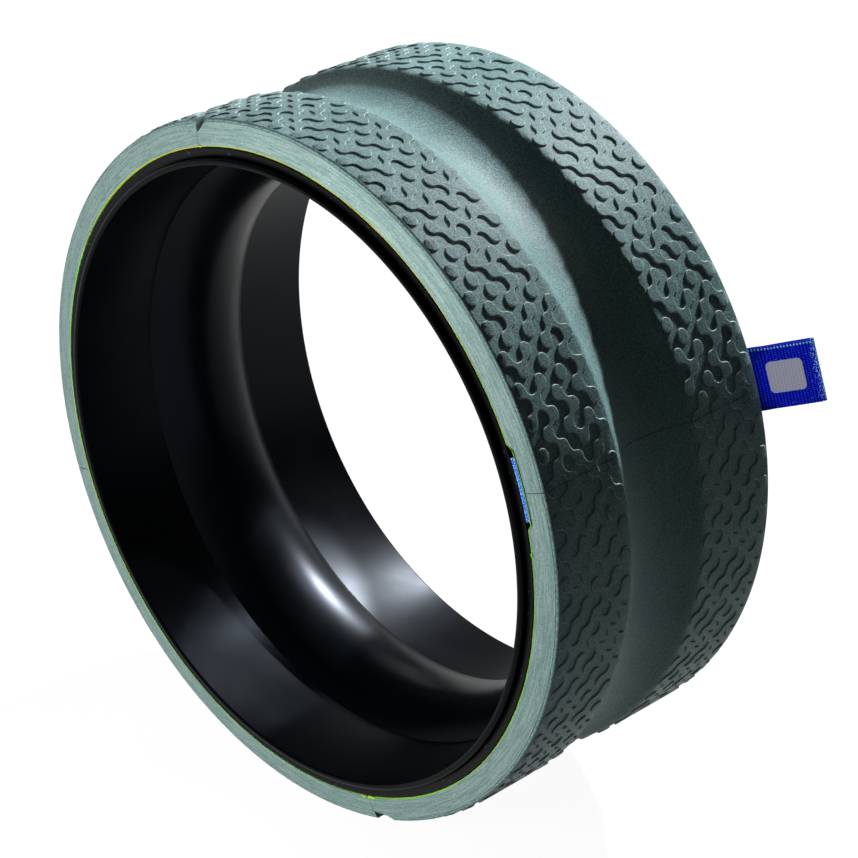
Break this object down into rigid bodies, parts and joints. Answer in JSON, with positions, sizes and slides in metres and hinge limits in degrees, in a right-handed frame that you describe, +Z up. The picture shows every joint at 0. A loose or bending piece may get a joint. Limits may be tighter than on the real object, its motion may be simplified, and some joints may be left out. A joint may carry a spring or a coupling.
{
  "type": "back roller wheel",
  "caption": "Open ring-shaped wheel with a padded, patterned foam tread, a groove round its middle for the spine, a black plastic core and a fabric pull tag.",
  "frame": {"origin": "centre of the wheel, on its axis and midway between its ends", "axes": "+Y along the wheel's axis, from the front end to the end with the tag; +Z up with the wheel standing on its tread"},
  "size_m": [0.3204, 0.1483, 0.3098],
  "materials": {
    "foam": "matt moulded foam, sage grey-green, with a raised maze pattern on the tread",
    "adhesive": "thin squeezed-out film, yellow-green",
    "hoop_plastic": "black, satin, faint turned lines",
    "liner_plastic": "black, soft gloss, smooth mould surface",
    "ribbon": "deep blue ribbed ribbon with lighter threads at its edges"
  },
  "bodies": {
    "wheel": {"outer_hoop": "hoop_plastic", "inner_liner": "liner_plastic", "foam_pad_1": "foam", "foam_pad_2": "foam", "foam_pad_3": "foam", "foam_pad_4": "foam", "glue_film_1": "adhesive", "glue_film_2": "adhesive", "glue_film_3": "adhesive", "glue_film_4": "adhesive", "ribbon_strap": "ribbon"},
    "tag": {"tag_loop": "ribbon"}
  },
  "joints": [
    {"name": "tag_flex", "type": "hinge", "parent": "wheel", "child": "tag", "pos_m": [0.13439, 0.0652, 0.05118], "axis": [0.3559, 0, -0.9345], "range_deg": [-50, 25], "stiffness_Nm_per_rad": 0.01}
  ]
}
